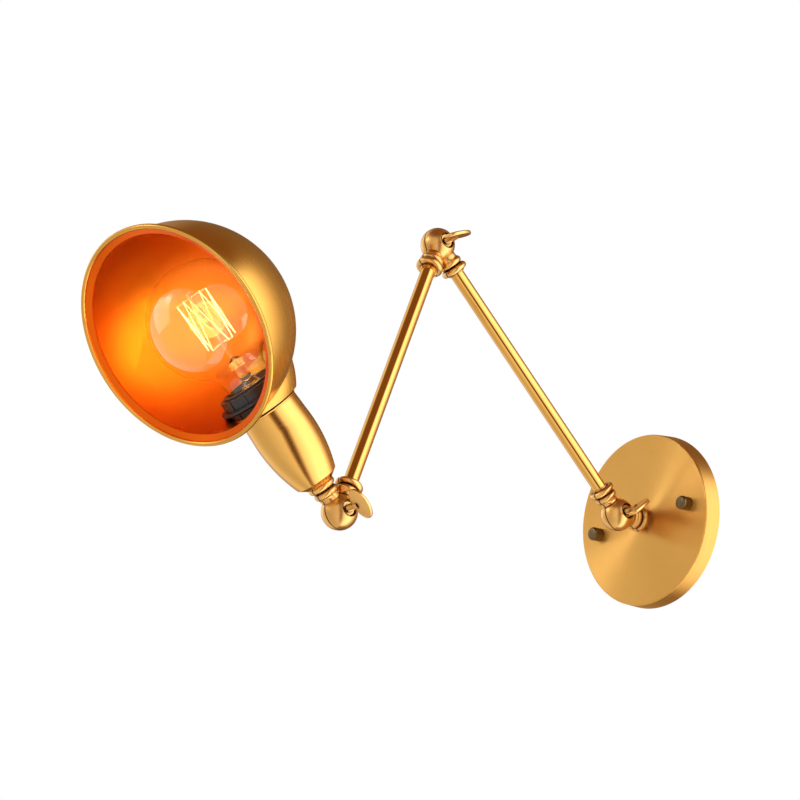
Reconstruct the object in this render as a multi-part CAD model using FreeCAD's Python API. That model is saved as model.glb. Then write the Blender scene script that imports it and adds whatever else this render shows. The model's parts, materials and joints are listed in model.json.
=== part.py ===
import FreeCAD, Part
import math
import os

# A wall lamp with two folding arms on ball knuckles and a side-necked dome shade.
# Millimetres. +Z is up, the wall is the plane y = 0, the lamp reaches out along -Y,
# and the arms swing in the plane x = 0. The origin is the centre of the wall face.

V = FreeCAD.Vector

# canopy, the round plate on the wall
canopy_diameter = 119.0
canopy_flare = 0.7
canopy_depth = 12.2
canopy_wall = 1.2
canopy_edge_round = 1.2

# mounting strap and its screws
strap_length = 102.0
strap_width = 18.0
strap_thickness = 1.6
wall_slot_spacing = 56.0
wall_slot_length = 14.0
wall_slot_width = 4.6
stud_spacing = 85.0
stud_diameter = 4.0
cap_nut_diameter = 9.4
cap_nut_height = 8.0
cap_nut_round = 1.9
earth_screw_offset = 13.0
earth_washer_diameter = 9.0
earth_washer_thickness = 0.8
earth_head_diameter = 7.0
earth_head_height = 2.4
earth_slot_width = 1.0

# arms
arm_length = 222.8
arm_one_elevation = 48.0
arm_two_elevation = -64.1
tube_diameter = 9.5
tube_bore = 7.9
tube_seat = 9.0

# ball knuckles: two half balls that meet on the arm plane, each with a ringed neck
ball_diameter = 23.0
base_neck_length = 24.7
neck_length = 23.0
neck_radius = 6.4
small_ring_radius = 8.0
small_ring_at = 15.0
small_ring_half_width = 1.9
big_ring_radius = 9.0
big_ring_at = 19.7
big_ring_half_width = 2.1
lip_radius = 5.8
ball_gap = 0.6
wire_bore = 6.8
wire_channel_inner = 6.2
wire_channel_outer = 9.6
wire_channel_depth = 3.4
recess_radius = 5.6
recess_floor = 6.0

# friction washers, wing screws and their spring washers
friction_washer_radius = 5.4
friction_washer_thickness = 0.8
screw_diameter = 5.0
screw_reach = 7.5
screw_collar_radius = 4.2
screw_collar_height = 1.8
screw_pitch = 0.9
screw_thread_depth = 0.35
spring_washer_radius = 4.4
spring_washer_thickness = 1.2
spring_washer_slit = 0.8
wing_start = 14.3
wing_length = 21.2
wing_width = 12.6
wing_thickness = 2.6
wing_edge_round = 1.0
wall_wing_turn = 37.0
elbow_wing_turn = 18.0
head_wing_turn = -48.0

# threaded nipples, hex nuts and the wave washer
nipple_bore = 7.0
nut_across_flats = 15.0
nut_thickness = 4.0
nut_bevel = 0.8
wave_washer_radius = 8.0
wave_washer_thickness = 0.8
nipple_overhang = 1.0

# head: socket cover
head_elevation = 48.0
cover_wall = 1.0
cover_base_radius = 9.2
cover_shoulder_radius = 14.0
cover_shoulder_at = 25.4
cover_swell_radius = 18.2
cover_swell_at = 41.0
cover_widest_radius = 19.6
cover_widest_at = 66.0
cover_top_radius = 19.1
cover_top_at = 79.4
cover_bead_radius = 0.6

# head: lampholder, a cap, a threaded body and a core with the contacts
holder_length = 57.2
holder_above_cover = 18.8
holder_entry_radius = 7.6
holder_entry_length = 5.0
holder_cap_foot_radius = 13.6
holder_cap_cone_length = 8.0
holder_cap_length = 20.6
holder_skirt_radius = 17.2
holder_wall = 1.6
holder_thread_radius = 19.5
holder_thread_pitch = 2.5
holder_thread_depth = 0.7
holder_thread_runout = 1.5
holder_collar_radius = 20.8
holder_bore_radius = 16.2
core_thickness = 8.0
core_below_mouth = 35.6
shell_bore_radius = 13.5
shell_wall = 0.5
shell_length = 27.0
contact_rise = 2.6
contact_leaf_width = 6.0
contact_leaf_thickness = 0.5
terminal_spacing = 15.0
terminal_radius = 2.1
terminal_head_radius = 3.0
terminal_length = 6.0
terminal_head_height = 1.8

# head: shade rings
lower_ring_radius = 21.5
lower_ring_height = 3.6
upper_ring_below_mouth = 1.5
upper_ring_height = 8.0
upper_ring_flange_radius = 25.8
upper_ring_flange_thickness = 1.7
upper_ring_hub_radius = 22.4
ring_notch_width = 1.0
ring_notch_depth = 0.5
ring_notch_count = 12

# shade: a dome with a flared side neck, whose skirt hangs over the socket cover
shade_radius = 66.1
shade_wall = 1.0
shade_tilt = 83.4
shade_turn = 4.6
skirt_gap = 1.1
skirt_drop = 1.2
skirt_depth = 2.1
skirt_radius = 22.4
skirt_wall = 1.0
neck_waist_rise = 9.5
neck_waist_radius = 27.5
neck_rise = 26.5
neck_top_radius = 31.5
floor_thickness = 1.0
floor_clearance = 0.5
dome_centre_forward = 19.8
rim_ahead = 10.6
dome_edge_ahead = 7.6
rim_flare = 3.6
bead_radius = 1.6

# bulb, from its contact tip up
globe_radius = 37.5
globe_above_foot = 51.6
glass_wall = 0.8
glass_neck_radius = 15.0
glass_neck_blend = 14.0
glass_foot_radius = 13.0
cap_crest_radius = 13.1
cap_root_radius = 12.2
cap_thread_pitch = 3.6
cap_thread_length = 19.0
cap_length = 24.0
cap_foot_above_tip = 4.4
cap_collar_radius = 14.0
cap_collar_length = 3.0
cap_wall = 0.6
insulator_foot_radius = 5.2
insulator_above_tip = 1.4
tip_radius = 4.6
tip_bevel = 0.7

# bulb: stem, supports and cage filament
stem_flare_height = 13.0
stem_tube_radius = 3.6
stem_tube_length = 9.0
stem_rod_radius = 1.5
stem_knob_radius = 2.4
hook_radius = 0.35
cage_radius = 10.6
cage_length = 33.0
cage_strands = 10
filament_radius = 0.4
hook_overlap = 0.3

# clearances
seat_gap = 0.05
thread_gap = 0.02
slide_gap = 0.1
hole_gap = 0.25
seam_gap = 0.1

# worked out from the sizes above
ball_radius = ball_diameter / 2
tube_radius = tube_diameter / 2
neck_socket_floor = neck_length - tube_seat
canopy_radius = canopy_diameter / 2
far_reach = 200.0

# heights along the barrel axis, from the centre of the head knuckle
cover_foot_at = big_ring_at + big_ring_half_width + seat_gap
holder_mouth_at = cover_top_at + holder_above_cover
holder_cap_at = holder_mouth_at - holder_length
holder_seam_at = holder_cap_at - holder_entry_length + holder_cap_length
core_top_at = holder_mouth_at - core_below_mouth
shell_top_at = core_top_at + shell_length
upper_ring_top_at = holder_mouth_at - upper_ring_below_mouth
upper_ring_at = upper_ring_top_at - upper_ring_height
skirt_at = cover_top_at + skirt_gap
floor_at = skirt_at + skirt_depth
dome_centre_up = skirt_at + skirt_drop + shade_radius
bead_centre_radius = shade_radius + rim_flare
tip_at = core_top_at + contact_rise
insulator_at = tip_at + insulator_above_tip
cap_foot_at = tip_at + cap_foot_above_tip
cap_thread_top_at = cap_foot_at + cap_thread_length
cap_top_at = cap_foot_at + cap_length
glass_foot_at = cap_top_at - seat_gap - glass_wall
globe_at = glass_foot_at + globe_above_foot
cage_bottom_at = globe_at - cage_length / 2
cage_top_at = globe_at + cage_length / 2


def point_up(elevation, distance):
    angle = math.radians(elevation)
    return V(0, -distance * math.cos(angle), distance * math.sin(angle))


wall_knuckle = V(0, -(canopy_depth + seat_gap + base_neck_length), 0)
elbow_knuckle = wall_knuckle + point_up(arm_one_elevation, arm_length)
head_knuckle = elbow_knuckle + point_up(arm_two_elevation, arm_length)
origin = V(0, 0, 0)


# A turned solid about +Z. Each step is (radius, height) for a straight line, or
# (radius, height, radius, height) for an arc through the first of the two points.
def turned(start, *steps):
    first = V(start[0], 0, start[1])
    here = first
    edges = []
    for step in steps:
        there = V(step[-2], 0, step[-1])
        if len(step) == 4:
            edges.append(Part.Arc(here, V(step[0], 0, step[1]), there).toShape())
        else:
            edges.append(Part.LineSegment(here, there).toShape())
        here = there
    edges.append(Part.LineSegment(here, first).toShape())
    return Part.Face(Part.Wire(edges)).revolve(origin, V(0, 0, 1), 360)


def rod(radius, low, high, x=0.0, y=0.0):
    return Part.makeCylinder(radius, high - low, V(x, y, low), V(0, 0, 1))


def ring(inner, outer, low, high):
    return rod(outer, low, high).cut(rod(inner, low - 1, high + 1))


def block(x_size, y_size, low, high, x=0.0, y=0.0):
    corner = V(x - x_size / 2, y - y_size / 2, low)
    return Part.makeBox(x_size, y_size, high - low, corner)


# The outline of ridges along a round bar, as steps for turned().
def ridges(crest, root, pitch, low, high):
    count = max(1, round((high - low) / pitch))
    step = (high - low) / count
    steps = []
    for turn in range(count):
        foot = low + turn * step
        steps.append((root, foot))
        steps.append((crest, foot + step / 2))
    steps.append((root, high))
    return steps


# Turns a shape built along +Z towards an elevation in the arm plane and seats it.
def aimed(shape, elevation, place):
    shape.rotate(origin, V(1, 0, 0), 90 - elevation)
    shape.translate(place)
    return shape


# Seats a shape built along +Z on the wall, standing straight out from it.
def on_wall(shape, x=0.0):
    return aimed(shape, 0, V(x, 0, 0))


def in_head(shape):
    return aimed(shape, head_elevation, head_knuckle)


# Turns a shape built along +Z to lie along +X.
def along_x(shape):
    shape.rotate(origin, V(0, 1, 0), 90)
    return shape


def merged(*shapes):
    first, *others = shapes
    whole = first.fuse(others)
    return whole.Solids[0] if len(whole.Solids) == 1 else whole


def hexagon_nut(bore_radius, low):
    corner_radius = nut_across_flats / 2 / math.cos(math.pi / 6)
    corners = []
    for turn in range(7):
        angle = math.radians(60 * turn)
        corners.append(V(corner_radius * math.cos(angle), corner_radius * math.sin(angle), low))
    prism = Part.Face(Part.makePolygon(corners)).extrude(V(0, 0, nut_thickness))
    high = low + nut_thickness
    bevelled = turned(
        (0, low),
        (corner_radius - nut_bevel, low),
        (corner_radius, low + nut_bevel),
        (corner_radius, high - nut_bevel),
        (corner_radius - nut_bevel, high),
        (0, high),
    )
    return prism.common(bevelled).cut(rod(bore_radius, low - 1, high + 1))


# canopy and mounting

def canopy():
    back_radius = canopy_radius + canopy_flare
    front_radius = canopy_radius - canopy_edge_round
    round_middle = canopy_edge_round * (1 - math.sqrt(0.5))
    cup = turned(
        (0, 0),
        (back_radius, 0),
        (canopy_radius, canopy_depth - canopy_edge_round),
        (canopy_radius - round_middle, canopy_depth - round_middle, front_radius, canopy_depth),
        (0, canopy_depth),
    )
    hollow = turned(
        (0, -1),
        (back_radius - canopy_wall, -1),
        (canopy_radius - canopy_wall, canopy_depth - canopy_wall),
        (0, canopy_depth - canopy_wall),
    )
    low = canopy_depth - canopy_wall - 1
    holes = [rod(tube_radius + hole_gap, low, canopy_depth + 1)]
    for side in (-1, 1):
        x = side * stud_spacing / 2
        holes.append(rod(stud_diameter / 2 + hole_gap, low, canopy_depth + 1, x))
    return on_wall(cup.cut([hollow] + holes))


def mounting_strap():
    strap = block(strap_length, strap_width, 0, strap_thickness)
    upright = [edge for edge in strap.Edges if abs(edge.Length - strap_thickness) < 0.01]
    strap = strap.makeFillet(strap_width / 4, upright)
    cuts = []
    for side in (-1, 1):
        cuts.append(rod(stud_diameter / 2, -1, strap_thickness + 1, side * stud_spacing / 2))
        middle = side * wall_slot_spacing / 2
        run = wall_slot_length - wall_slot_width
        cuts.append(block(run, wall_slot_width, -1, strap_thickness + 1, middle))
        for end in (-1, 1):
            x = middle + end * run / 2
            cuts.append(rod(wall_slot_width / 2, -1, strap_thickness + 1, x))
    cuts.append(rod(stud_diameter / 2, -1, strap_thickness + 1, earth_screw_offset))
    return on_wall(strap.cut(cuts))


def strap_studs():
    studs = []
    for side in (-1, 1):
        top = canopy_depth + cap_nut_height - cap_nut_round - seat_gap
        stud = rod(stud_diameter / 2 - thread_gap, seat_gap, top)
        studs.append(on_wall(stud, side * stud_spacing / 2))
    return Part.makeCompound(studs)


def cap_nuts():
    nuts = []
    radius = cap_nut_diameter / 2
    foot = canopy_depth
    top = canopy_depth + cap_nut_height
    round_middle = cap_nut_round * (1 - math.sqrt(0.5))
    for side in (-1, 1):
        nut = turned(
            (0, foot),
            (radius, foot),
            (radius, top - cap_nut_round),
            (radius - round_middle, top - round_middle, radius - cap_nut_round, top),
            (0, top),
        )
        thread = rod(stud_diameter / 2, foot - 1, top - cap_nut_round)
        nuts.append(on_wall(nut.cut(thread), side * stud_spacing / 2))
    return Part.makeCompound(nuts)


def earth_washer():
    low = strap_thickness
    high = low + earth_washer_thickness
    washer = ring(stud_diameter / 2 + slide_gap, earth_washer_diameter / 2, low, high)
    return on_wall(washer, earth_screw_offset)


def earth_screw():
    seat = strap_thickness + earth_washer_thickness
    shank = rod(stud_diameter / 2 - thread_gap, seat_gap, seat + earth_head_height / 2)
    head = rod(earth_head_diameter / 2, seat, seat + earth_head_height)
    slot_floor = seat + earth_head_height / 2
    slot = block(earth_head_diameter + 2, earth_slot_width, slot_floor, seat + earth_head_height + 1)
    return on_wall(merged(shank, head).cut(slot), earth_screw_offset)


# base swivel: the nipple, nut and washer turn with the wall-side half ball

base_neck_end = base_neck_length + seat_gap + canopy_wall


def base_nipple():
    top = base_neck_end + wave_washer_thickness + nut_thickness + nipple_overhang + 2 * seat_gap
    nipple = ring(nipple_bore / 2, tube_radius - thread_gap, neck_socket_floor + slide_gap, top)
    return aimed(nipple, 180, wall_knuckle)


def base_wave_washer():
    low = base_neck_end + seat_gap
    washer = ring(tube_radius + hole_gap, wave_washer_radius, low, low + wave_washer_thickness)
    return aimed(washer, 180, wall_knuckle)


def base_nut():
    low = base_neck_end + wave_washer_thickness + 2 * seat_gap
    return aimed(hexagon_nut(tube_radius, low), 180, wall_knuckle)


# knuckles

# The turned neck along +Z. Past the big ring a lip runs on to the neck's end.
def neck_form(neck_end):
    small_low = small_ring_at - small_ring_half_width
    small_high = small_ring_at + small_ring_half_width
    big_low = big_ring_at - big_ring_half_width
    big_high = big_ring_at + big_ring_half_width
    rise = small_ring_radius - neck_radius
    lip = [(lip_radius, big_high), (lip_radius, neck_end)] if neck_end > big_high else []
    return turned(
        (0, 0),
        (neck_radius, 0),
        (neck_radius, small_low - rise),
        (neck_radius + rise * 0.15, small_low - rise * 0.4, neck_radius + rise * 0.4, small_low),
        (small_ring_radius, small_ring_at, neck_radius + rise * 0.4, small_high),
        (neck_radius, big_low),
        (big_ring_radius - 0.5, big_low + 0.9, big_ring_radius, big_ring_at),
        (big_ring_radius - 0.35, big_high - 0.6, big_ring_radius - 1.3, big_high),
        *lip,
        (0, neck_end),
    )


# A half ball with its neck along +Z. The hinge is along X. side +1 is the half
# with the recess that the wing screw passes, and -1 the half that it threads into.
def half_ball(side, neck_end=neck_length):
    neck = neck_form(neck_end)
    ball = Part.makeSphere(ball_radius)
    x_low = seam_gap / 2 if side > 0 else -seam_gap / 2 - far_reach
    own_side = Part.makeBox(far_reach, far_reach, far_reach, V(x_low, -far_reach / 2, -far_reach / 2))
    swept = Part.makeSphere(ball_radius + ball_gap)
    half = merged(ball.fuse(neck).common(own_side), neck.cut(swept))
    cuts = [
        rod(tube_radius + thread_gap, neck_socket_floor, neck_end + 1),
        rod(wire_bore / 2, wire_channel_inner + 1, neck_end),
        along_x(ring(wire_channel_inner, wire_channel_outer, -wire_channel_depth, wire_channel_depth)),
    ]
    seat = seam_gap / 2 + friction_washer_thickness / 2 - seat_gap
    seat_radius = friction_washer_radius + slide_gap
    cuts.append(along_x(rod(seat_radius, -seat, seat)))
    if side > 0:
        cuts.append(along_x(rod(screw_diameter / 2 + slide_gap, 0, ball_radius)))
        cuts.append(along_x(rod(recess_radius, recess_floor, ball_radius + 1)))
    else:
        cuts.append(along_x(rod(screw_diameter / 2, -screw_reach - 1, 0)))
    return half.cut(cuts)


def friction_washer(place):
    thickness = friction_washer_thickness / 2 - seat_gap
    washer = along_x(ring(screw_diameter / 2 + slide_gap, friction_washer_radius, -thickness, thickness))
    washer.translate(place)
    return washer


def spring_washer(place):
    low = recess_floor + seat_gap
    high = low + spring_washer_thickness
    washer = ring(screw_diameter / 2 + slide_gap, spring_washer_radius, low, high)
    slit = block(spring_washer_radius * 2, spring_washer_slit, low - 1, high + 1, spring_washer_radius)
    washer = along_x(washer.cut(slit))
    washer.translate(place)
    return washer


# A wing screw along +X with its oval thumb plate turned about the screw.
def wing_screw(place, turn):
    radius = screw_diameter / 2 - thread_gap
    collar_low = recess_floor + spring_washer_thickness + 2 * seat_gap
    collar_high = collar_low + screw_collar_height
    shank = turned(
        (0, -screw_reach),
        (radius, -screw_reach),
        (radius, collar_low),
        (screw_collar_radius, collar_low),
        (screw_collar_radius, collar_high),
        *ridges(radius, radius - screw_thread_depth, screw_pitch, collar_high, wing_start),
        (radius, wing_start + wing_edge_round),
        (radius, wing_start + wing_width / 3),
        (0, wing_start + wing_width / 3),
    )
    middle = V(0, 0, wing_start + wing_width / 2)
    oval = Part.Ellipse(V(0, wing_length / 2, middle.z), V(0, 0, middle.z + wing_width / 2), middle)
    plate = Part.Face(Part.Wire(oval.toShape())).extrude(V(wing_thickness, 0, 0))
    plate.translate(V(-wing_thickness / 2, 0, 0))
    flat_edges = [edge for edge in plate.Edges if edge.Closed]
    plate = plate.makeFillet(wing_edge_round, flat_edges)
    screw = along_x(merged(shank, plate))
    screw.rotate(origin, V(1, 0, 0), turn)
    screw.translate(place)
    return screw


def arm_tube(place, elevation):
    low = neck_socket_floor + slide_gap
    tube = ring(tube_bore / 2, tube_radius, low, arm_length - low)
    return aimed(tube, elevation, place)


# head

def cover_form(inset):
    lift = inset if inset else 0
    return turned(
        (0, cover_foot_at + lift),
        (cover_base_radius - inset, cover_foot_at + lift),
        (cover_shoulder_radius - inset, cover_shoulder_at + lift / 2),
        (cover_swell_radius - inset, cover_swell_at, cover_widest_radius - inset, cover_widest_at),
        (cover_top_radius - inset, cover_top_at),
        (0, cover_top_at),
    )


def socket_cover():
    bead = Part.makeTorus(cover_top_radius, cover_bead_radius, V(0, 0, cover_top_at - cover_bead_radius))
    mouth = rod(cover_top_radius - cover_wall, cover_widest_at, cover_top_at + 1)
    hole = rod(tube_radius + hole_gap, cover_foot_at - 1, cover_swell_at)
    shell = cover_form(0).fuse(bead).cut([cover_form(cover_wall), mouth, hole])
    return in_head(shell.removeSplitter())


def head_nipple():
    top = holder_cap_at + holder_wall
    return in_head(ring(nipple_bore / 2, tube_radius - thread_gap, neck_socket_floor + slide_gap, top))


def head_nut():
    return in_head(hexagon_nut(tube_radius, cover_foot_at + cover_wall + seat_gap))


def lampholder_cap():
    entry_at = holder_cap_at - holder_entry_length
    shoulder_at = holder_cap_at + holder_cap_cone_length
    floor_top = holder_cap_at + holder_wall
    outside = turned(
        (0, entry_at),
        (holder_entry_radius, entry_at),
        (holder_entry_radius, holder_cap_at),
        (holder_cap_foot_radius, holder_cap_at),
        (holder_skirt_radius, shoulder_at),
        (holder_skirt_radius, holder_seam_at),
        (0, holder_seam_at),
    )
    inside = turned(
        (0, floor_top),
        (holder_cap_foot_radius - holder_wall, floor_top),
        (holder_skirt_radius - holder_wall, shoulder_at + holder_wall),
        (holder_skirt_radius - holder_wall, holder_seam_at + 1),
        (0, holder_seam_at + 1),
    )
    return in_head(outside.cut([inside, rod(tube_radius, entry_at - 1, floor_top + 1)]))


def lampholder_body():
    shoulder_at = cover_top_at + seat_gap
    root = holder_thread_radius - holder_thread_depth
    thread_top_at = holder_mouth_at - holder_thread_runout
    outside = turned(
        (0, holder_seam_at + seat_gap),
        (holder_skirt_radius, holder_seam_at + seat_gap),
        (holder_skirt_radius, shoulder_at),
        (root, shoulder_at),
        (root, skirt_at),
        (holder_collar_radius, skirt_at),
        (holder_collar_radius, floor_at - seat_gap),
        (root, floor_at - seat_gap),
        *ridges(holder_thread_radius, root, holder_thread_pitch, floor_at + floor_clearance, thread_top_at),
        (root, holder_mouth_at),
        (0, holder_mouth_at),
    )
    core_seat = core_top_at + slide_gap
    skirt_bore = rod(holder_skirt_radius - holder_wall, holder_seam_at - 1, core_seat)
    upper_bore = rod(holder_bore_radius, core_seat + holder_wall, holder_mouth_at + 1)
    ledge_bore = rod(shell_bore_radius + shell_wall + slide_gap, core_seat - 1, holder_mouth_at)
    return in_head(outside.cut([skirt_bore, ledge_bore, upper_bore]))


def lampholder_core():
    radius = holder_skirt_radius - holder_wall - slide_gap
    core = rod(radius, core_top_at - core_thickness, core_top_at)
    cuts = []
    for side in (-1, 1):
        x = side * terminal_spacing / 2
        cuts.append(rod(terminal_radius + thread_gap, 0, core_top_at - core_thickness + terminal_length, x))
    return in_head(core.cut(cuts))


def terminal_screws():
    foot = core_top_at - core_thickness
    screws = []
    for side in (-1, 1):
        x = side * terminal_spacing / 2
        shank = rod(terminal_radius, foot - terminal_head_height / 2, foot + terminal_length - seat_gap, x)
        head = rod(terminal_head_radius, foot - terminal_head_height - seat_gap, foot - seat_gap, x)
        screws.append(in_head(merged(shank, head)))
    return Part.makeCompound(screws)


def screw_shell():
    low = core_top_at + seat_gap
    return in_head(ring(shell_bore_radius, shell_bore_radius + shell_wall, low, shell_top_at))


def centre_contact():
    low = core_top_at
    high = tip_at - seat_gap
    thickness = contact_leaf_thickness
    foot_length = shell_bore_radius - 2
    foot = block(contact_leaf_width, foot_length, low, low + thickness, y=foot_length / 2)
    riser = block(contact_leaf_width, thickness, low, high, y=thickness / 2)
    tongue = block(contact_leaf_width, tip_radius * 2, high - thickness, high)
    return in_head(merged(foot, riser, tongue))


def notches(radius, low, high):
    cuts = []
    for turn in range(ring_notch_count):
        cut = block(ring_notch_depth * 2, ring_notch_width, low, high, radius)
        cut.rotate(origin, V(0, 0, 1), 360 * turn / ring_notch_count)
        cuts.append(cut)
    return cuts


def lower_shade_ring():
    low = floor_at + floor_thickness + seat_gap
    high = low + lower_ring_height
    plain = ring(holder_thread_radius + thread_gap, lower_ring_radius, low, high)
    return in_head(plain.cut(notches(lower_ring_radius, low - 1, high + 1)))


def upper_shade_ring():
    flange_top = upper_ring_at + upper_ring_flange_thickness
    flange = rod(upper_ring_flange_radius, upper_ring_at, flange_top)
    hub = rod(upper_ring_hub_radius, upper_ring_at, upper_ring_top_at)
    hub = hub.cut(notches(upper_ring_hub_radius, flange_top, upper_ring_top_at + 1))
    bore = rod(holder_thread_radius + thread_gap, upper_ring_at - 1, upper_ring_top_at + 1)
    return in_head(merged(flange, hub).cut(bore))


# The solid flare of the side neck, wider towards the dome, whose back ends inside
# the wall of the dome.
def neck_flare(inset):
    waist = (neck_waist_radius - inset, skirt_at + neck_waist_rise)
    top = (neck_top_radius - inset, skirt_at + neck_rise)
    return turned((0, skirt_at), (skirt_radius - inset, skirt_at), (*waist, *top), (0, top[1]))


# Seats a shape built about the dome's axis, +Z towards its open side, in the head.
def in_dome(shape):
    shape.rotate(origin, V(1, 0, 0), shade_tilt)
    shape.translate(V(0, -dome_centre_forward, dome_centre_up))
    return shape


def shade_rim():
    lean = math.radians(20)
    bead_low = rim_ahead - bead_radius * math.sin(lean)
    edge_radius = math.sqrt(shade_radius ** 2 - dome_edge_ahead ** 2)
    inner_ahead = dome_edge_ahead + shade_wall
    inner_radius = math.sqrt((shade_radius - shade_wall) ** 2 - inner_ahead ** 2)
    lip = turned(
        (edge_radius - shade_wall / 2, dome_edge_ahead),
        (edge_radius, dome_edge_ahead),
        (bead_centre_radius, bead_low),
        (bead_centre_radius, rim_ahead + bead_radius / 2),
        (inner_radius, inner_ahead),
    )
    bead = Part.makeTorus(bead_centre_radius, bead_radius, V(0, 0, rim_ahead))
    return merged(lip, bead)


def shade():
    outer_ball = Part.makeSphere(shade_radius)
    ahead = Part.makeBox(far_reach, far_reach, far_reach, V(-far_reach / 2, -far_reach / 2, dome_edge_ahead))
    outer_dome = in_dome(outer_ball.cut(ahead))
    inner_ball = in_dome(Part.makeSphere(shade_radius - shade_wall))
    floor_top = floor_at + floor_thickness
    shell = outer_dome.fuse(neck_flare(0))
    room = neck_flare(skirt_wall).cut(rod(far_reach, skirt_at - 1, floor_top))
    shell = shell.cut([inner_ball, room])
    skirt_bore = skirt_radius - skirt_wall
    shell = shell.cut(rod(skirt_bore, skirt_at - 5, floor_at))
    skirt = ring(skirt_bore, skirt_radius, skirt_at, floor_top)
    hole_radius = holder_thread_radius + floor_clearance
    floor = ring(hole_radius, skirt_radius, floor_at, floor_top)
    whole = merged(shell, skirt, floor, in_dome(shade_rim()))
    whole = whole.cut(rod(hole_radius, floor_at - 1, floor_top + 1))
    whole.rotate(origin, V(0, 0, 1), shade_turn)
    return in_head(whole)


# bulb

def glass_form(inset):
    globe = globe_radius - inset
    blend_out = glass_neck_radius + glass_neck_blend
    reach = globe_radius + glass_neck_blend
    drop = math.sqrt(reach ** 2 - blend_out ** 2)
    blend_at = globe_at - drop
    blend = glass_neck_blend + inset
    tangent_r = globe * blend_out / reach
    tangent_z = globe_at - globe * drop / reach
    half_turn = math.atan2(drop, blend_out) / 2
    middle = (blend_out - blend * math.cos(half_turn), blend_at + blend * math.sin(half_turn))
    return turned(
        (0, glass_foot_at),
        (glass_foot_radius - inset, glass_foot_at),
        (glass_neck_radius - inset, glass_foot_at + glass_neck_radius - glass_foot_radius),
        (glass_neck_radius - inset, blend_at),
        (*middle, tangent_r, tangent_z),
        (globe, globe_at, 0, globe_at + globe),
    )


def bulb_glass():
    return in_head(glass_form(0).cut(glass_form(glass_wall)))


def bulb_cap():
    outside = turned(
        (0, cap_foot_at),
        (cap_root_radius, cap_foot_at),
        *ridges(cap_crest_radius, cap_root_radius, cap_thread_pitch, cap_foot_at + 1, cap_thread_top_at),
        (cap_collar_radius, cap_top_at - cap_collar_length),
        (cap_collar_radius, cap_top_at),
        (0, cap_top_at),
    )
    barrel = rod(cap_root_radius - cap_wall, cap_foot_at - 1, cap_top_at + 1)
    return in_head(outside.cut([barrel, glass_form(-slide_gap)]))


def bulb_insulator():
    return in_head(turned(
        (0, insulator_at),
        (insulator_foot_radius, insulator_at),
        (cap_root_radius - cap_wall, cap_foot_at - seat_gap),
        (cap_root_radius - cap_wall - seat_gap, cap_foot_at + 2),
        (0, cap_foot_at + 2),
    ))


def bulb_tip():
    return in_head(turned(
        (0, tip_at),
        (tip_radius - tip_bevel, tip_at),
        (tip_radius, tip_at + tip_bevel),
        (tip_radius, insulator_at - seat_gap),
        (0, insulator_at - seat_gap),
    ))


def cage_point(index, height):
    angle = 2 * math.pi * index / (2 * cage_strands)
    return V(cage_radius * math.cos(angle), cage_radius * math.sin(angle), height)


def wire_run(radius, points):
    pieces = [Part.makeSphere(radius, point) for point in points]
    for start, end in zip(points, points[1:]):
        span = end - start
        pieces.append(Part.makeCylinder(radius, span.Length, start, span))
    return merged(*pieces)


# The glowing wire zigzags around the cage, up and down between the hooks.
def filament():
    points = []
    for index in range(2 * cage_strands):
        height = cage_bottom_at if index % 2 == 0 else cage_top_at
        points.append(cage_point(index, height))
    return in_head(wire_run(filament_radius, points))


def bulb_stem():
    low = glass_foot_at + seat_gap
    waist = low + stem_flare_height
    tube_top = waist + stem_tube_length
    knob_at = cage_top_at + math.sqrt(stem_knob_radius ** 2 - stem_rod_radius ** 2)
    return in_head(turned(
        (0, low),
        (glass_foot_radius - glass_wall - seat_gap, low),
        (stem_tube_radius + 2, low + stem_flare_height * 0.4, stem_tube_radius, waist),
        (stem_tube_radius, tube_top),
        (stem_rod_radius, tube_top + stem_rod_radius),
        (stem_rod_radius, cage_top_at),
        (stem_knob_radius, knob_at, 0, knob_at + stem_knob_radius),
    ))


# Hooks from the stem out to each turn of the filament.
def filament_supports():
    hooks = []
    for index in range(2 * cage_strands):
        top = index % 2 == 1
        height = cage_top_at if top else cage_bottom_at
        rise = filament_radius + hook_radius - hook_overlap
        end = cage_point(index, height + (rise if top else -rise))
        root = V(0, 0, end.z)
        start = root + (end - root).normalize() * (stem_rod_radius - hook_overlap)
        hooks.append(in_head(wire_run(hook_radius, [start, end])))
    return Part.makeCompound(hooks)


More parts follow.
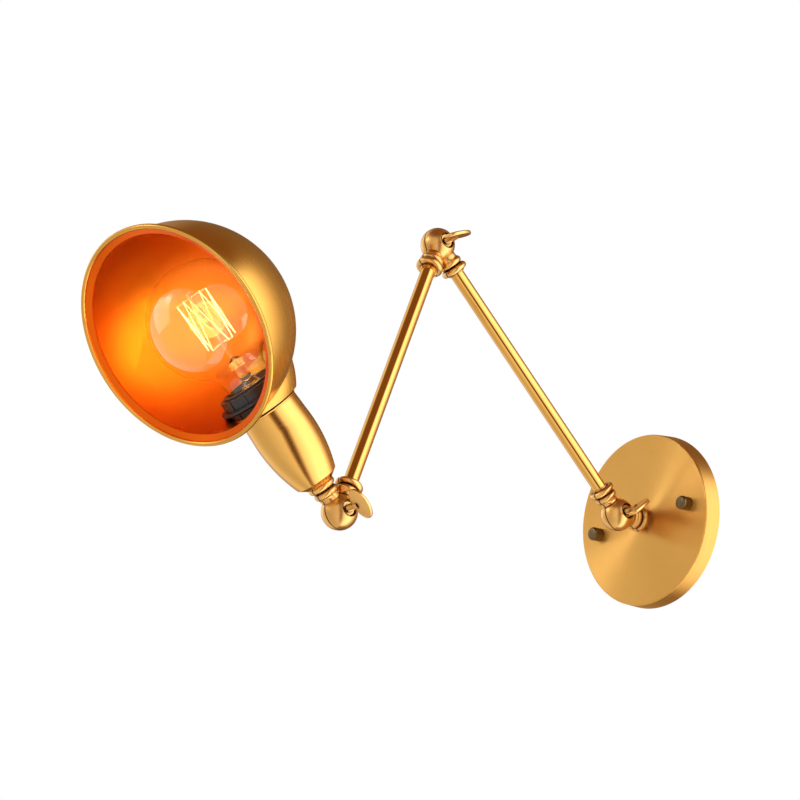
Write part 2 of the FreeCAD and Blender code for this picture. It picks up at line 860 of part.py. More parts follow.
pieces = {
    "canopy": canopy(),
    "mounting_strap": mounting_strap(),
    "strap_studs": strap_studs(),
    "cap_nuts": cap_nuts(),
    "earth_washer": earth_washer(),
    "earth_screw": earth_screw(),
    "base_nipple": base_nipple(),
    "base_wave_washer": base_wave_washer(),
    "base_nut": base_nut(),
    "wall_knuckle_base_half": aimed(half_ball(1, base_neck_length), 180, wall_knuckle),
    "wall_knuckle_arm_half": aimed(half_ball(-1), arm_one_elevation, wall_knuckle),
    "wall_friction_washer": friction_washer(wall_knuckle),
    "wall_spring_washer": spring_washer(wall_knuckle),
    "wall_wing_screw": wing_screw(wall_knuckle, wall_wing_turn),
    "arm_one_tube": arm_tube(wall_knuckle, arm_one_elevation),
    "elbow_arm_one_half": aimed(half_ball(1), arm_one_elevation + 180, elbow_knuckle),
    "elbow_arm_two_half": aimed(half_ball(-1), arm_two_elevation, elbow_knuckle),
    "elbow_friction_washer": friction_washer(elbow_knuckle),
    "elbow_spring_washer": spring_washer(elbow_knuckle),
    "elbow_wing_screw": wing_screw(elbow_knuckle, elbow_wing_turn),
    "arm_two_tube": arm_tube(elbow_knuckle, arm_two_elevation),
    "head_knuckle_arm_half": aimed(half_ball(-1), arm_two_elevation + 180, head_knuckle),
    "head_knuckle_head_half": in_head(half_ball(1, big_ring_at + big_ring_half_width)),
    "head_friction_washer": friction_washer(head_knuckle),
    "head_spring_washer": spring_washer(head_knuckle),
    "head_wing_screw": wing_screw(head_knuckle, head_wing_turn),
    "head_nipple": head_nipple(),
    "head_nut": head_nut(),
    "socket_cover": socket_cover(),
    "lampholder_cap": lampholder_cap(),
    "lampholder_body": lampholder_body(),
    "lampholder_core": lampholder_core(),
    "terminal_screws": terminal_screws(),
    "screw_shell": screw_shell(),
    "centre_contact": centre_contact(),
    "lower_shade_ring": lower_shade_ring(),
    "upper_shade_ring": upper_shade_ring(),
    "shade": shade(),
    "bulb_glass": bulb_glass(),
    "bulb_cap": bulb_cap(),
    "bulb_insulator": bulb_insulator(),
    "bulb_tip": bulb_tip(),
    "bulb_stem": bulb_stem(),
    "filament_supports": filament_supports(),
    "filament": filament(),
}

os.makedirs("parts", exist_ok=True)
for name, shape in pieces.items():
    shape.exportStep(f"parts/{name}.step")
    print(name, len(shape.Solids), "solid(s)", round(shape.Volume, 1), "mm3", "valid", shape.isValid())
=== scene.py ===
import json
import math

import bmesh
import bpy
from mathutils import Matrix, Vector


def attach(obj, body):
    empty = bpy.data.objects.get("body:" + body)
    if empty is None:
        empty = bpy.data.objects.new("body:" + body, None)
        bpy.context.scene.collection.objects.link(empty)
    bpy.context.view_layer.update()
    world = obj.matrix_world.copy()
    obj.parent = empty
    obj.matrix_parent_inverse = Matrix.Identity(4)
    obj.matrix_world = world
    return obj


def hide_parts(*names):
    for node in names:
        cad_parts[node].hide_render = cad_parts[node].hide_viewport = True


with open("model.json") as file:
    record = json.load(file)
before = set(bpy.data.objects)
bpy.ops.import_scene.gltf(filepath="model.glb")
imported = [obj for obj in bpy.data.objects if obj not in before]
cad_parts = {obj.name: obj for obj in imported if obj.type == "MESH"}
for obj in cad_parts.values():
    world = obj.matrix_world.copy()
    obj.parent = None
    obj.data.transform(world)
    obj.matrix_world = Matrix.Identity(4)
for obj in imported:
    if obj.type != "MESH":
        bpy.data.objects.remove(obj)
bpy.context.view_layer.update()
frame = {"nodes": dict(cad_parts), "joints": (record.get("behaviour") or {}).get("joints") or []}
nodes = frame["nodes"]
pivots = {joint["name"]: Vector(joint["pos_m"]) for joint in frame["joints"]}
axes = {joint["name"]: Vector(joint["axis"]).normalized() for joint in frame["joints"]}
wallBall = pivots["wall_knuckle"]
elbowBall = pivots["elbow_knuckle"]
headBall = pivots["head_knuckle"]
acrossAxis = Vector((1, 0, 0))
barrelAxis = axes["shade_turn"]
# local axes of the head: X across, Y away from the shade's mouth, Z up the barrel
headTurn = Matrix((acrossAxis, barrelAxis.cross(acrossAxis), barrelAxis)).transposed().to_4x4()
headPlace = Matrix.Translation(headBall) @ headTurn
print("frame loaded", len(nodes), "nodes")

cameraView = {
    "place": (1.1359205, -1.2295546, -0.4772395),
    "right": (0.645015, 0.761967, -0.057978),
    "up": (0.286062, -0.170407, 0.942937),
    "back": (0.708607, -0.624794, -0.327885),
    "lens": 112.5,
    "sensor": 36.0,
    "farthest": 20.0,
}


def makeCamera(view):
    data = bpy.data.cameras.new("camera")
    data.lens = view["lens"]
    data.sensor_width = view["sensor"]
    data.clip_end = view["farthest"]
    camera = bpy.data.objects.new("camera", data)
    bpy.context.scene.collection.objects.link(camera)
    turn = Matrix((view["right"], view["up"], view["back"])).transposed().to_4x4()
    camera.matrix_world = Matrix.Translation(view["place"]) @ turn
    bpy.context.scene.camera = camera


makeCamera(cameraView)
print("camera set")


# Shader helpers. A value handed to them is either a socket, which is linked, or a constant.

def rgba(color):
    return (*color, 1.0)


def addNode(tree, kind, **values):
    node = tree.nodes.new(kind)
    for key, value in values.items():
        if hasattr(node, key) and key not in node.inputs:
            setattr(node, key, value)
        else:
            node.inputs[key].default_value = value
    return node


def join(tree, value, socket):
    if isinstance(value, bpy.types.NodeSocket):
        tree.links.new(value, socket)
    else:
        socket.default_value = value


def mathOf(tree, operation, *values):
    node = addNode(tree, "ShaderNodeMath", operation=operation)
    for socket, value in zip(node.inputs, values):
        join(tree, value, socket)
    return node.outputs["Value"]


def vectorOf(tree, operation, *values, output="Vector"):
    node = addNode(tree, "ShaderNodeVectorMath", operation=operation)
    for socket, value in zip(node.inputs, values):
        join(tree, value, socket)
    return node.outputs[output]


def rangeOf(tree, value, source=(0.0, 1.0), target=(0.0, 1.0), smooth=False):
    kind = "SMOOTHSTEP" if smooth else "LINEAR"
    node = addNode(tree, "ShaderNodeMapRange", interpolation_type=kind)
    node.inputs["From Min"].default_value, node.inputs["From Max"].default_value = source
    node.inputs["To Min"].default_value, node.inputs["To Max"].default_value = target
    join(tree, value, node.inputs["Value"])
    return node.outputs["Result"]


def mixOf(tree, kind, factor, first, second):
    node = addNode(tree, "ShaderNodeMix", data_type=kind)
    for label, value in (("Factor", factor), ("A", first), ("B", second)):
        join(tree, value, node.inputs[label])
    return node.outputs["Result"]


def objectPlace(tree):
    return addNode(tree, "ShaderNodeTexCoord").outputs["Object"]


def newGroup(name, inputs, outputs):
    group = bpy.data.node_groups.new(name, "ShaderNodeTree")
    for label, kind, value in inputs:
        socket = group.interface.new_socket(label, in_out="INPUT", socket_type=kind)
        if value is not None:
            socket.default_value = value
    for label, kind in outputs:
        group.interface.new_socket(label, in_out="OUTPUT", socket_type=kind)
    start = group.nodes.new("NodeGroupInput").outputs
    end = group.nodes.new("NodeGroupOutput").inputs
    return group, start, end


def useGroup(tree, group, **values):
    node = tree.nodes.new("ShaderNodeGroup")
    node.node_tree = group
    for label, value in values.items():
        join(tree, value, node.inputs[label])
    return node.outputs


def newMaterial(name):
    material = bpy.data.materials.new(name)
    material.use_nodes = True
    tree = material.node_tree
    return material, tree, tree.nodes["Principled BSDF"]


# fine lines of brushing; the Vector comes in already stretched along the brushing
brushingSettings = {"detail": 3.0, "roughness": 0.6, "spread": (0.3, 0.7)}


def makeBrushing(settings):
    group, start, end = newGroup(
        "brushing",
        [("Vector", "NodeSocketVector", None), ("Scale", "NodeSocketFloat", 900.0),
         ("Depth", "NodeSocketFloat", 0.5)],
        [("Line", "NodeSocketFloat"), ("Height", "NodeSocketFloat")],
    )
    fine = addNode(
        group, "ShaderNodeTexNoise", Detail=settings["detail"], Roughness=settings["roughness"]
    )
    join(group, start["Vector"], fine.inputs["Vector"])
    join(group, start["Scale"], fine.inputs["Scale"])
    line = rangeOf(group, fine.outputs["Fac"], settings["spread"])
    join(group, line, end["Line"])
    join(group, mathOf(group, "MULTIPLY", line, start["Depth"]), end["Height"])
    return group


# slow cloudy change of tone, as on lacquered metal that has been handled
toneSettings = {"detail": 4.0, "roughness": 0.55, "spread": (0.35, 0.65)}


def makeTone(settings):
    group, start, end = newGroup(
        "tone",
        [("Vector", "NodeSocketVector", None), ("Scale", "NodeSocketFloat", 30.0),
         ("Light", "NodeSocketColor", (1, 1, 1, 1)),
         ("Dark", "NodeSocketColor", (0.5, 0.5, 0.5, 1))],
        [("Color", "NodeSocketColor"), ("Mask", "NodeSocketFloat")],
    )
    cloud = addNode(
        group, "ShaderNodeTexNoise", Detail=settings["detail"], Roughness=settings["roughness"]
    )
    join(group, start["Vector"], cloud.inputs["Vector"])
    join(group, start["Scale"], cloud.inputs["Scale"])
    mask = rangeOf(group, cloud.outputs["Fac"], settings["spread"])
    join(group, mixOf(group, "RGBA", mask, start["Light"], start["Dark"]), end["Color"])
    join(group, mask, end["Mask"])
    return group


# darkening in grooves and recesses by ambient occlusion: painted shade, which on the brass also
# stands for patina where polishing doesn't reach
patinaAndRecessShadeSettings = {"samples": 4, "openToShut": (0.95, 0.45)}


def makePatinaAndRecessShade(settings):
    group, start, end = newGroup(
        "patinaAndRecessShade",
        [("Color", "NodeSocketColor", (1, 1, 1, 1)),
         ("Deep", "NodeSocketColor", (0.1, 0.05, 0.02, 1)),
         ("Reach", "NodeSocketFloat", 0.004), ("Amount", "NodeSocketFloat", 1.0)],
        [("Color", "NodeSocketColor"), ("Mask", "NodeSocketFloat")],
    )
    shade = addNode(
        group, "ShaderNodeAmbientOcclusion", samples=settings["samples"], only_local=True
    )
    join(group, start["Reach"], shade.inputs["Distance"])
    depth = rangeOf(group, shade.outputs["AO"], settings["openToShut"])
    mask = mathOf(group, "MULTIPLY", depth, start["Amount"])
    join(group, mixOf(group, "RGBA", mask, start["Color"], start["Deep"]), end["Color"])
    join(group, mask, end["Mask"])
    return group


# painted shade in grooves and recesses, by ambient occlusion
brushing = makeBrushing(brushingSettings)
tone = makeTone(toneSettings)
patinaAndRecessShade = makePatinaAndRecessShade(patinaAndRecessShadeSettings)
bumpHeight = 0.00005
print("shader groups made")


# Metal turned or drawn about an axis: lines run round it, or along it where along is set.
def turnedMetal(name, settings):
    material, tree, shader = newMaterial(name)
    place = objectPlace(tree)
    turn = Vector((0, 0, 1)).rotation_difference(Vector(settings["axis"])).to_euler()
    mapping = addNode(tree, "ShaderNodeMapping", vector_type="TEXTURE")
    mapping.inputs["Location"].default_value = settings["centre"]
    mapping.inputs["Rotation"].default_value = turn
    join(tree, place, mapping.inputs["Vector"])
    local = mapping.outputs["Vector"]
    if settings["along"]:
        stretched = vectorOf(tree, "MULTIPLY", local, (1, 1, settings["stretch"]))
    else:
        split = addNode(tree, "ShaderNodeSeparateXYZ")
        join(tree, local, split.inputs["Vector"])
        flat = vectorOf(tree, "MULTIPLY", local, (1, 1, 0))
        rings = addNode(tree, "ShaderNodeCombineXYZ")
        join(tree, vectorOf(tree, "LENGTH", flat, output="Value"), rings.inputs["X"])
        join(tree, split.outputs["Z"], rings.inputs["Z"])
        stretched = rings.outputs["Vector"]
    lines = useGroup(
        tree, brushing, Vector=stretched, Scale=settings["lineScale"], Depth=settings["depth"]
    )
    cloud = useGroup(
        tree, tone, Vector=local, Scale=settings["toneScale"],
        Light=rgba(settings["light"]), Dark=rgba(settings["dark"]),
    )
    # painted shade: grooves and recesses darkened by ambient occlusion, on brass parts standing
    # also for patina
    grooves = useGroup(
        tree, patinaAndRecessShade, Color=cloud["Color"], Deep=rgba(settings["deep"]),
        Reach=settings["reach"], Amount=settings["patinaAndRecessShade"],
    )
    color = grooves["Color"]
    if settings["seam"]:
        # darker along the joint between the two halves of a ball, which lies on x = 0
        halves = addNode(tree, "ShaderNodeSeparateXYZ")
        join(tree, place, halves.inputs["Vector"])
        off = mathOf(tree, "ABSOLUTE", halves.outputs["X"])
        seamDarkening = rangeOf(tree, off, (settings["seam"], settings["seam"] / 2), smooth=True)
        color = mixOf(tree, "RGBA", seamDarkening, color, rgba(settings["deep"]))
    join(tree, color, shader.inputs["Base Color"])
    rough = rangeOf(tree, lines["Line"], target=settings["rough"])
    join(tree, rough, shader.inputs["Roughness"])
    bump = addNode(tree, "ShaderNodeBump", Strength=settings["bump"], Distance=bumpHeight)
    join(tree, lines["Height"], bump.inputs["Height"])
    join(tree, bump.outputs["Normal"], shader.inputs["Normal"])
    shader.inputs["Metallic"].default_value = 1.0
    shader.inputs["Anisotropic"].default_value = settings["anisotropic"]
    # the highlight spreads across the lines, which run round the axis
    if settings["anisotropic"]:
        normal = addNode(tree, "ShaderNodeNewGeometry").outputs["Normal"]
        reach = vectorOf(tree, "SUBTRACT", place, settings["centre"])
        around = vectorOf(tree, "CROSS_PRODUCT", settings["axis"], reach)
        join(tree, vectorOf(tree, "CROSS_PRODUCT", around, normal), shader.inputs["Tangent"])
    return material


def dress(names, material):
    for name in names:
        data = nodes[name].data
        data.materials.clear()
        data.materials.append(material)


# deep: the colour of the painted shade in grooves and recesses, and of the darker joint between
# ball halves
satinBrass = {
    "centre": (0, 0, 0), "axis": (0, -1, 0), "along": False, "stretch": 0.02,
    "light": (0.80, 0.44, 0.115), "dark": (0.74, 0.385, 0.092), "deep": (0.24, 0.09, 0.015),
    "lineScale": 1500.0, "toneScale": 12.0, "depth": 0.5, "bump": 0.06, "rough": (0.30, 0.38),
    "anisotropic": 0.9, "reach": 0.003, "patinaAndRecessShade": 0.6, "seam": 0.0,
}
dress(["canopy"], turnedMetal("satinBrassPlate", satinBrass))

armAxes = {
    "arm_one_tube": (wallBall, (elbowBall - wallBall).normalized()),
    "arm_two_tube": (elbowBall, (headBall - elbowBall).normalized()),
}
tubeBrass = {
    "along": True, "lineScale": 700.0, "rough": (0.08, 0.14), "anisotropic": 0.0, "bump": 0.05,
}
for name, (centre, axis) in armAxes.items():
    settings = {**satinBrass, **tubeBrass, "centre": centre, "axis": axis}
    dress([name], turnedMetal("drawnBrass_" + name, settings))

coverBrass = {
    "centre": headBall, "axis": barrelAxis, "rough": (0.15, 0.21), "anisotropic": 0.3,
    "bump": 0.05,
}
dress(["socket_cover"], turnedMetal("turnedBrassCover", {**satinBrass, **coverBrass}))

antiqueBrass = {
    "light": (0.86, 0.50, 0.16), "dark": (0.70, 0.36, 0.11), "deep": (0.06, 0.02, 0.006),
    "lineScale": 1200.0, "toneScale": 60.0, "rough": (0.25, 0.34), "anisotropic": 0.0,
    "bump": 0.1, "reach": 0.0035, "patinaAndRecessShade": 1.0, "seam": 0.0006,
}
knuckleAxes = {
    "wall_knuckle_base_half": (wallBall, Vector((0, 1, 0))),
    "wall_knuckle_arm_half": armAxes["arm_one_tube"],
    "elbow_arm_one_half": (elbowBall, armAxes["arm_one_tube"][1]),
    "elbow_arm_two_half": armAxes["arm_two_tube"],
    "head_knuckle_arm_half": (headBall, armAxes["arm_two_tube"][1]),
    "head_knuckle_head_half": (headBall, barrelAxis),
    "wall_wing_screw": (wallBall, acrossAxis),
    "elbow_wing_screw": (elbowBall, acrossAxis),
    "head_wing_screw": (headBall, acrossAxis),
}
for name, (centre, axis) in knuckleAxes.items():
    settings = {**satinBrass, **antiqueBrass, "centre": centre, "axis": axis}
    dress([name], turnedMetal("antiqueBrass_" + name, settings))

nutBrass = {
    "light": (0.22, 0.15, 0.07), "dark": (0.13, 0.085, 0.04), "deep": (0.02, 0.012, 0.006),
    "toneScale": 90.0, "rough": (0.25, 0.35), "anisotropic": 0.0, "bump": 0.1, "patinaAndRecessShade": 0.8,
}
dress(["cap_nuts"], turnedMetal("darkBrass", {**satinBrass, **nutBrass}))

steelFinish = {
    "light": (0.52, 0.51, 0.48), "dark": (0.40, 0.39, 0.37), "deep": (0.08, 0.08, 0.08),
    "toneScale": 50.0, "rough": (0.3, 0.4), "anisotropic": 0.0,
}
dress(
    ["mounting_strap", "strap_studs", "earth_washer", "base_nipple", "base_wave_washer",
     "base_nut", "wall_spring_washer", "elbow_spring_washer", "head_spring_washer",
     "head_nipple", "head_nut"],
    turnedMetal("platedSteel", {**satinBrass, **steelFinish}),
)

contactBrass = {
    "centre": headBall, "axis": barrelAxis,
    "light": (0.72, 0.50, 0.22), "dark": (0.60, 0.40, 0.16), "deep": (0.15, 0.09, 0.03),
    "toneScale": 80.0, "rough": (0.22, 0.32), "anisotropic": 0.0,
}
dress(
    ["screw_shell", "centre_contact", "terminal_screws", "bulb_cap", "bulb_tip", "earth_screw"],
    turnedMetal("contactBrass", {**satinBrass, **contactBrass}),
)
print("metals dressed")


# moulded or pressed matter: a fine grain over a slow change of tone
def mouldedMatter(name, settings):
    material, tree, shader = newMaterial(name)
    place = objectPlace(tree)
    cloud = useGroup(
        tree, tone, Vector=place, Scale=settings["toneScale"],
        Light=rgba(settings["light"]), Dark=rgba(settings["dark"]),
    )
    # painted shade: grooves and recesses darkened by ambient occlusion
    grooves = useGroup(
        tree, patinaAndRecessShade, Color=cloud["Color"], Deep=rgba(settings["deep"]),
        Reach=settings["reach"], Amount=settings["patinaAndRecessShade"],
    )
    join(tree, grooves["Color"], shader.inputs["Base Color"])
    grain = useGroup(tree, brushing, Vector=place, Scale=settings["grainScale"], Depth=1.0)
    rough = rangeOf(tree, grain["Line"], target=settings["rough"])
    join(tree, rough, shader.inputs["Roughness"])
    bump = addNode(tree, "ShaderNodeBump", Strength=settings["bump"], Distance=bumpHeight)
    join(tree, grain["Height"], bump.inputs["Height"])
    join(tree, bump.outputs["Normal"], shader.inputs["Normal"])
    return material


# deep: the colour of the painted shade in grooves and recesses
blackResin = {
    "light": (0.022, 0.021, 0.022), "dark": (0.012, 0.011, 0.012), "deep": (0.004, 0.004, 0.004),
    "toneScale": 40.0, "grainScale": 1500.0, "rough": (0.28, 0.42), "bump": 0.3,
    "reach": 0.002, "patinaAndRecessShade": 0.8,
}
dress(
    ["lampholder_cap", "lampholder_body", "lower_shade_ring", "upper_shade_ring"],
    mouldedMatter("blackResin", blackResin),
)

fibre = {
    "light": (0.10, 0.03, 0.015), "dark": (0.06, 0.018, 0.01), "deep": (0.02, 0.006, 0.003),
    "toneScale": 200.0, "grainScale": 2500.0, "rough": (0.6, 0.8), "bump": 0.6,
    "reach": 0.002, "patinaAndRecessShade": 0.5,
}
dress(
    ["wall_friction_washer", "elbow_friction_washer", "head_friction_washer"],
    mouldedMatter("pressedFibre", fibre),
)

porcelain = {
    "light": (0.75, 0.73, 0.68), "dark": (0.68, 0.66, 0.60), "deep": (0.3, 0.28, 0.25),
    "toneScale": 60.0, "grainScale": 900.0, "rough": (0.12, 0.2), "bump": 0.1,
    "reach": 0.002, "patinaAndRecessShade": 0.5,
}
dress(["lampholder_core"], mouldedMatter("porcelain", porcelain))

insulator = {
    "light": (0.01, 0.01, 0.014), "dark": (0.006, 0.006, 0.008), "deep": (0.002, 0.002, 0.002),
    "toneScale": 60.0, "grainScale": 900.0, "rough": (0.08, 0.14), "bump": 0.1,
    "reach": 0.002, "patinaAndRecessShade": 0.3,
}
dress(["bulb_insulator"], mouldedMatter("blackGlass", insulator))
print("mouldings dressed")

# Shade: satin outside; inside, a deep orange-red painted glow stands for the bulb's warm light on
# the brass. The two are told apart by the distance from the dome's centre. Lengths are in metres
# and follow the shade's own sizes.
shadeSettings = {
    "domeForward": 0.0198, "domeUp": 0.1478, "turn": 4.6, "tilt": 83.4,
    "outerRadius": 0.0661, "wall": 0.001,
    "lipAhead": 0.0083, "lipRadius": 0.0651, "lipSlope": 0.57, "beadInner": 0.0683,
    "insideGlowLight": (0.80, 0.25, 0.03), "insideGlowDark": (0.74, 0.21, 0.022),
    "insideScale": 18.0, "insideRough": 0.29, "lipGlowColor": (0.78, 0.12, 0.006),
}
shadeBrass = {
    "light": (0.79, 0.42, 0.085), "dark": (0.72, 0.36, 0.065), "rough": (0.24, 0.32),
    "anisotropic": 0.45,
}


def shadeAxes(settings):
    turn = Matrix.Rotation(math.radians(settings["turn"]), 4, "Z")
    tilt = Matrix.Rotation(math.radians(settings["tilt"]), 4, "X")
    centre = headPlace @ turn @ Vector((0, -settings["domeForward"], settings["domeUp"]))
    axis = (headTurn @ turn @ tilt).to_3x3() @ Vector((0, 0, 1))
    return centre, axis.normalized()


def shadeMetal(settings):
    centre, axis = shadeAxes(settings)
    material = turnedMetal(
        "spunBrassShade", {**satinBrass, **shadeBrass, "centre": centre, "axis": axis}
    )
    tree = material.node_tree
    shader = tree.nodes["Principled BSDF"]
    place = objectPlace(tree)
    away = vectorOf(tree, "DISTANCE", place, centre, output="Value")
    bowl = mathOf(tree, "LESS_THAN", away, settings["outerRadius"] - settings["wall"] / 2)
    # the lip's inner face, up to the bead, gets the painted glow too, in a deeper red
    offset = vectorOf(tree, "SUBTRACT", place, centre)
    ahead = vectorOf(tree, "DOT_PRODUCT", offset, axis, output="Value")
    side = vectorOf(tree, "CROSS_PRODUCT", offset, axis)
    radius = vectorOf(tree, "LENGTH", side, output="Value")
    slope = mathOf(tree, "MULTIPLY_ADD", radius, -settings["lipSlope"], ahead)
    lipEdge = settings["lipAhead"] - settings["lipSlope"] * settings["lipRadius"]
    front = mathOf(tree, "GREATER_THAN", slope, lipEdge)
    within = mathOf(tree, "LESS_THAN", radius, settings["beadInner"])
    lip = mathOf(tree, "MULTIPLY", front, within)
    inside = mathOf(tree, "MAXIMUM", bowl, lip)
    # painted glow: the inside tone is a deep orange-red for the bulb's warm light on the brass
    paintedGlowTone = useGroup(
        tree, tone, Vector=place, Scale=settings["insideScale"],
        Light=rgba(settings["insideGlowLight"]), Dark=rgba(settings["insideGlowDark"]),
    )
    thick = mixOf(tree, "RGBA", lip, paintedGlowTone["Color"], rgba(settings["lipGlowColor"]))
    color = shader.inputs["Base Color"]
    join(tree, mixOf(tree, "RGBA", inside, color.links[0].from_socket, thick), color)
    rough = shader.inputs["Roughness"]
    finish = mixOf(tree, "FLOAT", inside, rough.links[0].from_socket, settings["insideRough"])
    join(tree, finish, rough)
    return material


dress(["shade"], shadeMetal(shadeSettings))
print("shade dressed")

# bulb glass lets the filament's light through unbent, so that it reaches the shade
glassSettings = {"tint": (1.0, 0.97, 0.92), "ior": 1.45, "waves": 25.0, "rough": (0.0, 0.02)}


def clearGlass(name, settings):
    material, tree, shader = newMaterial(name)
    shader.inputs["Base Color"].default_value = rgba(settings["tint"])
    shader.inputs["Transmission Weight"].default_value = 1.0
    shader.inputs["IOR"].default_value = settings["ior"]
    waves = useGroup(tree, brushing, Vector=objectPlace(tree), Scale=settings["waves"], Depth=1.0)
    rough = rangeOf(tree, waves["Line"], target=settings["rough"])
    join(tree, rough, shader.inputs["Roughness"])
    path = addNode(tree, "ShaderNodeLightPath").outputs
    clear = addNode(tree, "ShaderNodeBsdfTransparent")
    either = mathOf(tree, "MAXIMUM", path["Is Shadow Ray"], path["Is Diffuse Ray"])
    mix = addNode(tree, "ShaderNodeMixShader")
    for socket, value in zip(mix.inputs, (either, shader.outputs["BSDF"], clear.outputs["BSDF"])):
        join(tree, value, socket)
    join(tree, mix.outputs["Shader"], tree.nodes["Material Output"].inputs["Surface"])
    return material


dress(["bulb_glass", "bulb_stem"], clearGlass("clearGlass", glassSettings))

# filament: a cage of slanted runs hung on hooks from the stem's rod
filamentSettings = {
    "strands": 10, "gap": 0.5, "radius": 0.0106, "low": 0.12785, "high": 0.16085,
    "wire": 0.0003, "hook": 0.0002, "rod": 0.0013, "bevel": 2,
    "glow": (1.0, 0.66, 0.20), "hot": (1.0, 0.80, 0.36), "cold": (0.2, 0.15, 0.1),
    "toneScale": 300.0, "strength": 3.2,
}


def wirePiece(name, paths, radius, material):
    curve = bpy.data.curves.new(name, "CURVE")
    curve.dimensions = "3D"
    curve.bevel_depth = radius
    curve.bevel_resolution = filamentSettings["bevel"]
    curve.use_fill_caps = True
    for path in paths:
        run = curve.splines.new("POLY")
        run.points.add(len(path) - 1)
        for point, spot in zip(run.points, path):
            point.co = (*(headPlace @ spot), 1.0)
    curve.materials.append(material)
    wire = bpy.data.objects.new(name, curve)
    bpy.context.scene.collection.objects.link(wire)
    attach(wire, "head")
    return wire


def glowingWire(settings):
    material, tree, shader = newMaterial("glowingFilament")
    warm = useGroup(
        tree, tone, Vector=objectPlace(tree), Scale=settings["toneScale"],
        Light=rgba(settings["hot"]), Dark=rgba(settings["glow"]),
    )
    join(tree, warm["Color"], shader.inputs["Emission Color"])
    shader.inputs["Emission Strength"].default_value = settings["strength"]
    shader.inputs["Base Color"].default_value = rgba(settings["cold"])
    return material


def makeFilament(settings):
    corners = []
    hooks = []
    for index in range(settings["strands"] + 1):
        top = index % 2 == 1
        angle = 2 * math.pi * index / (settings["strands"] + settings["gap"])
        outward = Vector((math.cos(angle), math.sin(angle), 0))
        level = Vector((0, 0, settings["high"] if top else settings["low"]))
        corners.append(outward * settings["radius"] + level)
        level.z += settings["wire"] if top else -settings["wire"]
        hooks.append([level + outward * settings["rod"], level + outward * settings["radius"]])
    cage = wirePiece("filamentCage", [corners], settings["wire"], glowingWire(settings))
    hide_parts("filament")
    steel = turnedMetal("supportWire", {**satinBrass, **steelFinish})
    supports = wirePiece("filamentHooks", hooks, settings["hook"], steel)
    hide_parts("filament_supports")


makeFilament(filamentSettings)
print("bulb dressed")

# floor and world
studio = {
    "floorHeight": -0.8, "floorSize": 4.0, "floorColor": (0.8, 0.8, 0.8), "floorRough": 0.9,
    "ambient": 0.75,
    # broad panels round the lamp: degrees to the right of the camera, and their light
    "panels": [
        (-180, (0.22, 0.14, 0.07)), (-160, (0.60, 0.50, 0.38)), (-138, (1.15, 1.10, 1.0)),
        (-118, (0.95, 0.92, 0.85)), (-95, (0.78, 0.76, 0.70)), (-60, (0.80, 0.76, 0.68)),
        (-24, (1.0, 0.98, 0.90)), (-2, (1.25, 1.2, 1.1)), (5, (0.30, 0.16, 0.06)),
        (11, (0.14, 0.06, 0.015)), (18, (0.14, 0.06, 0.015)), (30, (1.6, 1.6, 1.6)),
        (60, (2.5, 2.6, 2.7)), (94, (2.3, 2.4, 2.5)), (110, (1.15, 1.0, 0.85)),
        (126, (0.45, 0.34, 0.22)), (150, (0.28, 0.17, 0.08)), (180, (0.22, 0.14, 0.07)),
    ],
    "brightest": 3.0,
    "ceiling": {"heights": (0.64, 0.84), "color": (0.26, 0.12, 0.04)},
    # soft boxes: degrees right of the camera, height, spread in degrees, strength
    "boxes": [(-78, 0.45, 26, 0.3), (-82, 0.48, 9, 4.0), (-138, 0.06, 20, 0.5)],
    "boxCore": 0.4,
}


def makeFloor(settings):
    mesh = bpy.data.meshes.new("floor")
    shape = bmesh.new()
    bmesh.ops.create_grid(shape, x_segments=1, y_segments=1, size=settings["floorSize"])
    bmesh.ops.translate(shape, vec=(0, 0, settings["floorHeight"]), verts=shape.verts)
    shape.to_mesh(mesh)
    shape.free()
    floor = bpy.data.objects.new("floor", mesh)
    bpy.context.scene.collection.objects.link(floor)
    material, tree, shader = newMaterial("paleFloor")
    shader.inputs["Base Color"].default_value = rgba(settings["floorColor"])
    shader.inputs["Roughness"].default_value = settings["floorRough"]
    clear = addNode(tree, "ShaderNodeBsdfTransparent")
    glossy = addNode(tree, "ShaderNodeLightPath").outputs["Is Glossy Ray"]
    mix = addNode(tree, "ShaderNodeMixShader")  # the metal sees the studio's panels below too
    for socket, value in zip(mix.inputs, (glossy, shader.outputs["BSDF"], clear.outputs["BSDF"])):
        join(tree, value, socket)
    join(tree, mix.outputs["Shader"], tree.nodes["Material Output"].inputs["Surface"])
    mesh.materials.append(material)


# light of the panels, by the direction's angle round the camera's up axis
def panelLight(tree, direction, settings):
    right, back = (
        vectorOf(tree, "DOT_PRODUCT", direction, cameraView[side], output="Value")
        for side in ("right", "back")
    )
    angle = mathOf(tree, "ARCTAN2", right, back)
    ramp = addNode(tree, "ShaderNodeValToRGB")
    join(tree, rangeOf(tree, angle, (-math.pi, math.pi)), ramp.inputs["Fac"])
    stops = ramp.color_ramp.elements
    stops.remove(stops[1])
    for index, (degrees, light) in enumerate(settings["panels"]):
        share = (degrees + 180) / 360
        stop = stops[0] if index == 0 else stops.new(share)
        stop.position = share
        stop.color = rgba([value / settings["brightest"] for value in light])
    return vectorOf(tree, "MULTIPLY", ramp.outputs["Color"], [settings["brightest"]] * 3)


def boxLight(tree, direction, box, core):
    degrees, height, spread, strength = box
    flat = math.sqrt(1 - height * height)
    toward = Vector(cameraView["right"]) * flat * math.sin(math.radians(degrees))
    toward += Vector(cameraView["back"]) * flat * math.cos(math.radians(degrees))
    toward += Vector(cameraView["up"]) * height
    near = vectorOf(tree, "DOT_PRODUCT", direction, toward, output="Value")
    edges = (math.cos(math.radians(spread)), math.cos(math.radians(spread * core)))
    return rangeOf(tree, near, edges, (0.0, strength), smooth=True)


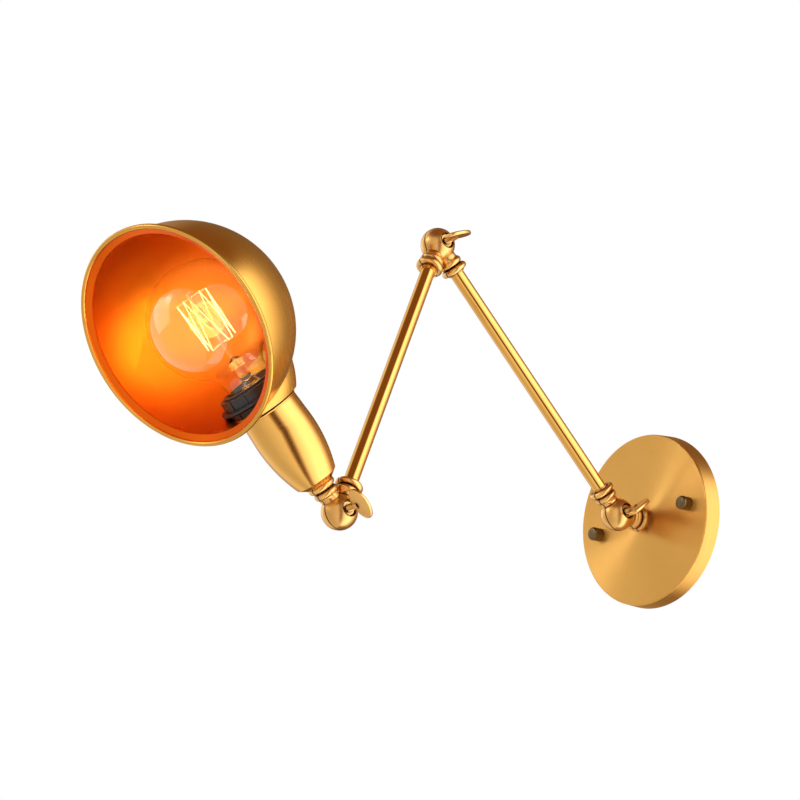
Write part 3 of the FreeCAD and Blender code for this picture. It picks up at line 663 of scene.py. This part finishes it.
# The studio round the lamp: white to the camera, broad bright and dark panels for the metal.
def makeWorld(settings):
    world = bpy.data.worlds.new("studio")
    bpy.context.scene.world = world
    world.use_nodes = True
    tree = world.node_tree
    tree.nodes.clear()
    direction = addNode(tree, "ShaderNodeTexCoord").outputs["Generated"]
    panels = panelLight(tree, direction, settings)
    high = vectorOf(tree, "DOT_PRODUCT", direction, cameraView["up"], output="Value")
    ceiling = rangeOf(tree, high, settings["ceiling"]["heights"], smooth=True)
    lit = mixOf(tree, "RGBA", ceiling, panels, rgba(settings["ceiling"]["color"]))
    for box in settings["boxes"]:
        lit = vectorOf(tree, "ADD", lit, boxLight(tree, direction, box, settings["boxCore"]))
    path = addNode(tree, "ShaderNodeLightPath").outputs
    plain = rgba([settings["ambient"]] * 3)
    mirrored = mixOf(tree, "RGBA", path["Is Glossy Ray"], plain, lit)
    seen = mathOf(tree, "MAXIMUM", path["Is Camera Ray"], path["Is Transmission Ray"])
    background = addNode(tree, "ShaderNodeBackground")
    white = (1.0, 1.0, 1.0, 1.0)
    join(tree, mixOf(tree, "RGBA", seen, mirrored, white), background.inputs["Color"])
    output = addNode(tree, "ShaderNodeOutputWorld")
    join(tree, background.outputs["Background"], output.inputs["Surface"])


softLights = {
    "key": {"place": (1.3, -0.9, 1.1), "size": 1.0, "power": 22.0, "color": (1.0, 0.98, 0.95)},
    "fill": {"place": (-1.0, -1.6, 0.4), "size": 1.2, "power": 14.0, "color": (1.0, 0.99, 0.97)},
}
lampMiddle = Vector((0, -0.22, 0.05))
bulbLight = {"power": 0.18, "radius": 0.012, "color": (1.0, 0.62, 0.14), "height": 0.1443}


def addLight(name, kind, settings, place):
    data = bpy.data.lights.new(name, kind)
    data.energy = settings["power"]
    data.color = settings["color"]
    light = bpy.data.objects.new(name, data)
    bpy.context.scene.collection.objects.link(light)
    light.matrix_world = Matrix.Translation(place)
    return light


def makeLights():
    for name, settings in softLights.items():
        lamp = addLight(name, "AREA", settings, settings["place"])
        lamp.data.size = settings["size"]
        lamp.visible_glossy = False
        aim = lampMiddle - Vector(settings["place"])
        lamp.matrix_world = lamp.matrix_world @ aim.to_track_quat("-Z", "Y").to_matrix().to_4x4()
    glow = addLight("bulbGlow", "POINT", bulbLight, headPlace @ Vector((0, 0, bulbLight["height"])))
    glow.data.shadow_soft_size = bulbLight["radius"]
    glow.visible_camera = False
    glow.visible_transmission = False
    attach(glow, "head")


makeFloor(studio)
makeWorld(studio)
makeLights()
print("studio lit")

bpy.context.scene.view_settings.view_transform = "Standard"
